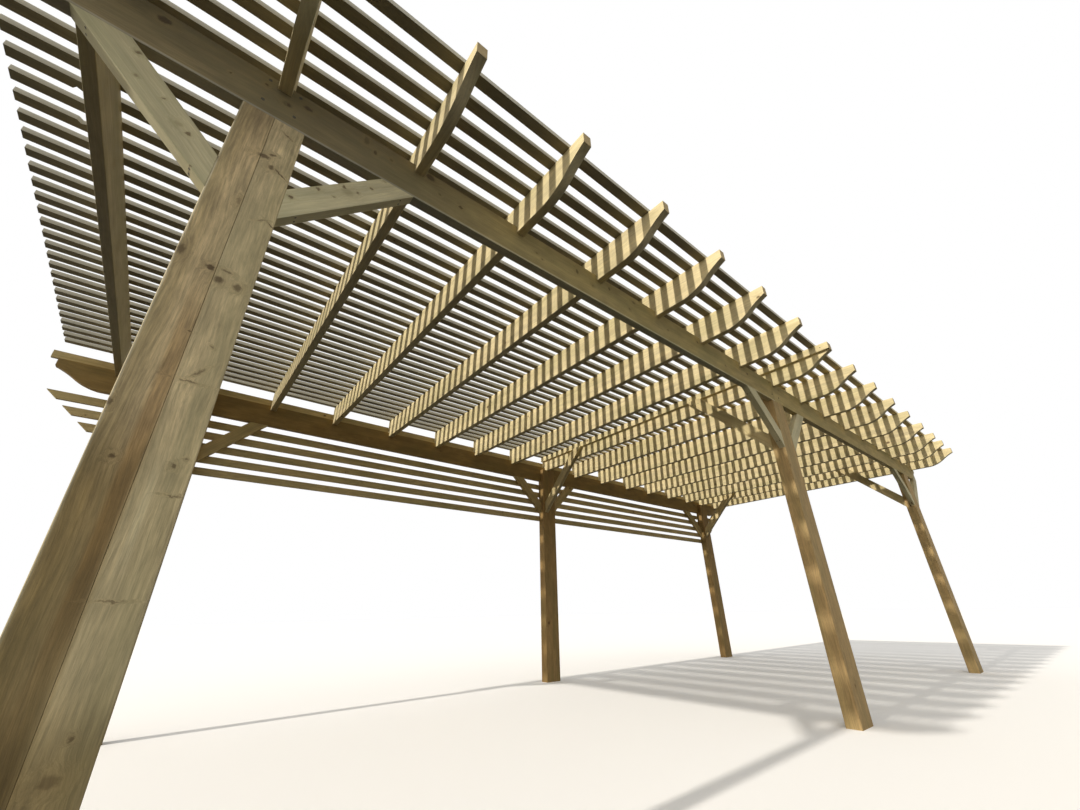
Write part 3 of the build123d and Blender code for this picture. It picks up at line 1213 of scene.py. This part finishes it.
@dataclass(frozen=True)
class Studio:
    """Floor, light and camera around the pergola.

    Args:
        floor_reach: Half the floor's side in metres.
        floor_pale: The floor as it is seen.
        floor_bounce: The floor as it lights the timbers from below.
        ambient: Strength of the even light from all round.
        sun_strength: Strength of the key light.
        sun_tint: Colour of the key light.
        sun_spread: Angle across the key light in degrees, which softens its shadows.
        sun_height: Height of the key light above the ground in degrees.
        sun_aside: How far it goes toward +Y for each metre along.
        front_strength: Strength of the broad light from the open front.
        front_travel: The direction in which it goes.
        end_strength: Strength of the broad light from the near end, which is nearly level.
        end_travel: The direction in which it goes.
        end_tint: Its colour, as light that pale timber and gravel throw back.
        broad_spread: Angle across each of these two in degrees.
        eye: The camera's place in metres.
        heading: Its heading from +Y toward +X in radians.
        rise: How far it looks up in radians.
        roll: Its roll in radians.
        lens: Its focal length in millimetres.
        sensor: The width of its sensor in millimetres.
        nearest: The shortest distance that it sees in metres.
        furthest: The longest one.
    """

    floor_reach: float = 80.0
    floor_pale: str = "#FAF9F6"
    floor_bounce: str = "#2E2D2B"
    ambient: float = 0.6
    sun_strength: float = 2.9
    sun_tint: str = "#FFF8EE"
    sun_spread: float = 1.4
    sun_height: float = 29.0
    sun_aside: float = 0.02
    front_strength: float = 0.35
    front_travel: tuple[float, float, float] = (0.2, 0.9, -0.32)
    end_strength: float = 1.5
    end_travel: tuple[float, float, float] = (1.0, 0.1, -0.1)
    end_tint: str = "#FFF0D6"
    broad_spread: float = 70.0
    eye: tuple[float, float, float] = (-3.6584, -2.7437, 0.724)
    heading: float = 0.6917
    rise: float = 0.4437
    roll: float = -0.0201
    lens: float = 14.57
    sensor: float = 36.0
    nearest: float = 0.05
    furthest: float = 400.0

    def seen_directly(self, tree: Tree) -> Socket:
        """Tell rays that the eye, a reflection or a pane sees from rays that carry light.

        Args:
            tree: The node tree of a material or of the world.

        Returns:
            1 for rays that are seen, 0 for the rest.
        """
        path = add_node(tree, "LightPath")
        both = add_node(tree, "Math", (path["Is Camera Ray"], path["Is Glossy Ray"]), operation="MAXIMUM")[0]
        return add_node(tree, "Math", (both, path["Is Transmission Ray"]), operation="MAXIMUM")[0]

    def lay_floor(self) -> None:
        """Lay a plain floor that is pale to the camera and gives the timbers a modest light from below."""
        shape = bmesh.new()
        bmesh.ops.create_grid(shape, x_segments=2, y_segments=2, size=self.floor_reach)
        floor = add_piece("floor", shape)
        material = bpy.data.materials.new("matt studio floor")
        tree = cleared_tree(material)
        mixed = {0: self.seen_directly(tree), 6: linear(self.floor_bounce), 7: linear(self.floor_pale)}
        colour = add_node(tree, "Mix", mixed, data_type="RGBA")[2]
        matt = add_node(tree, "BsdfDiffuse", {"Color": colour})[0]
        add_node(tree, "OutputMaterial", {"Surface": matt})
        floor.data.materials.append(material)

    def light(self) -> None:
        """Set an even white surround, a key light from the near end and two broad weak ones."""
        world = bpy.data.worlds.new("studio")
        tree = cleared_tree(world)
        strength = add_node(tree, "MapRange", (self.seen_directly(tree), 0.0, 1.0, self.ambient, 1.0))[0]
        surround = add_node(tree, "Background", {"Color": linear("#FFFFFF"), "Strength": strength})[0]
        add_node(tree, "OutputWorld", {"Surface": surround})
        bpy.context.scene.world = world
        low = math.radians(self.sun_height)
        along = (math.cos(low), self.sun_aside, -math.sin(low))
        self.hang("key", along, self.sun_strength, self.sun_spread, self.sun_tint)
        self.hang("front", self.front_travel, self.front_strength, self.broad_spread)
        self.hang("near_end", self.end_travel, self.end_strength, self.broad_spread, self.end_tint)

    def hang(
        self,
        name: str,
        travel: tuple[float, float, float],
        strength: float,
        spread: float,
        tint: str = "#FFFFFF",
    ) -> None:
        """Hang one distant lamp.

        Args:
            name: The lamp's name.
            travel: The direction in which its light goes.
            strength: Its strength.
            spread: Angle across it in degrees.
            tint: Its colour.
        """
        lamp = bpy.data.lights.new(name, "SUN")
        lamp.energy = strength
        lamp.angle = math.radians(spread)
        lamp.color = linear(tint)[:3]
        lantern = bpy.data.objects.new(name, lamp)
        lantern.rotation_euler = Vector(travel).to_track_quat("-Z", "Y").to_euler()
        bpy.context.scene.collection.objects.link(lantern)

    def set_camera(self) -> None:
        """Set the camera under the near end of the roof, looking up along it."""
        level = math.cos(self.rise)
        ahead = (math.sin(self.heading) * level, math.cos(self.heading) * level, math.sin(self.rise))
        forward = Vector(ahead)
        right = Vector((math.cos(self.heading), -math.sin(self.heading), 0))
        up = right.cross(forward)
        rolled_right = math.cos(self.roll) * right + math.sin(self.roll) * up
        rolled_up = -math.sin(self.roll) * right + math.cos(self.roll) * up
        turn = Matrix((rolled_right, rolled_up, -forward)).transposed().to_4x4()
        data = bpy.data.cameras.new("camera")
        data.sensor_fit = "HORIZONTAL"
        data.sensor_width = self.sensor
        data.lens = self.lens
        data.clip_start = self.nearest
        data.clip_end = self.furthest
        camera = bpy.data.objects.new("camera", data)
        camera.matrix_world = Matrix.Translation(Vector(self.eye)) @ turn
        bpy.context.scene.collection.objects.link(camera)
        bpy.context.scene.camera = camera

    def build(self) -> None:
        """Set the floor, the light, the camera and the plain view transform."""
        self.lay_floor()
        self.light()
        self.set_camera()
        bpy.context.scene.view_settings.view_transform = "Standard"
        LOG.info("studio set")


def main() -> None:
    """Load the frame, dress it, fix it together and set the studio."""
    logging.basicConfig(level=logging.INFO, format="%(message)s")
    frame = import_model()
    steel = {
        "coated": CoatedSteel("screw steel, green-black coat", "#4A4638", 0.5, 0.35).make(),
        "galvanised": CoatedSteel("nail steel, galvanised", "#9A9C9C", 0.45, 0.9).make(),
    }
    for kind in (Posts, Beams, Rafters, Braces, RoofBattens, Screen):
        kind(frame["nodes"], steel).build()
    Studio().build()


if __name__ == "__main__":
    main()
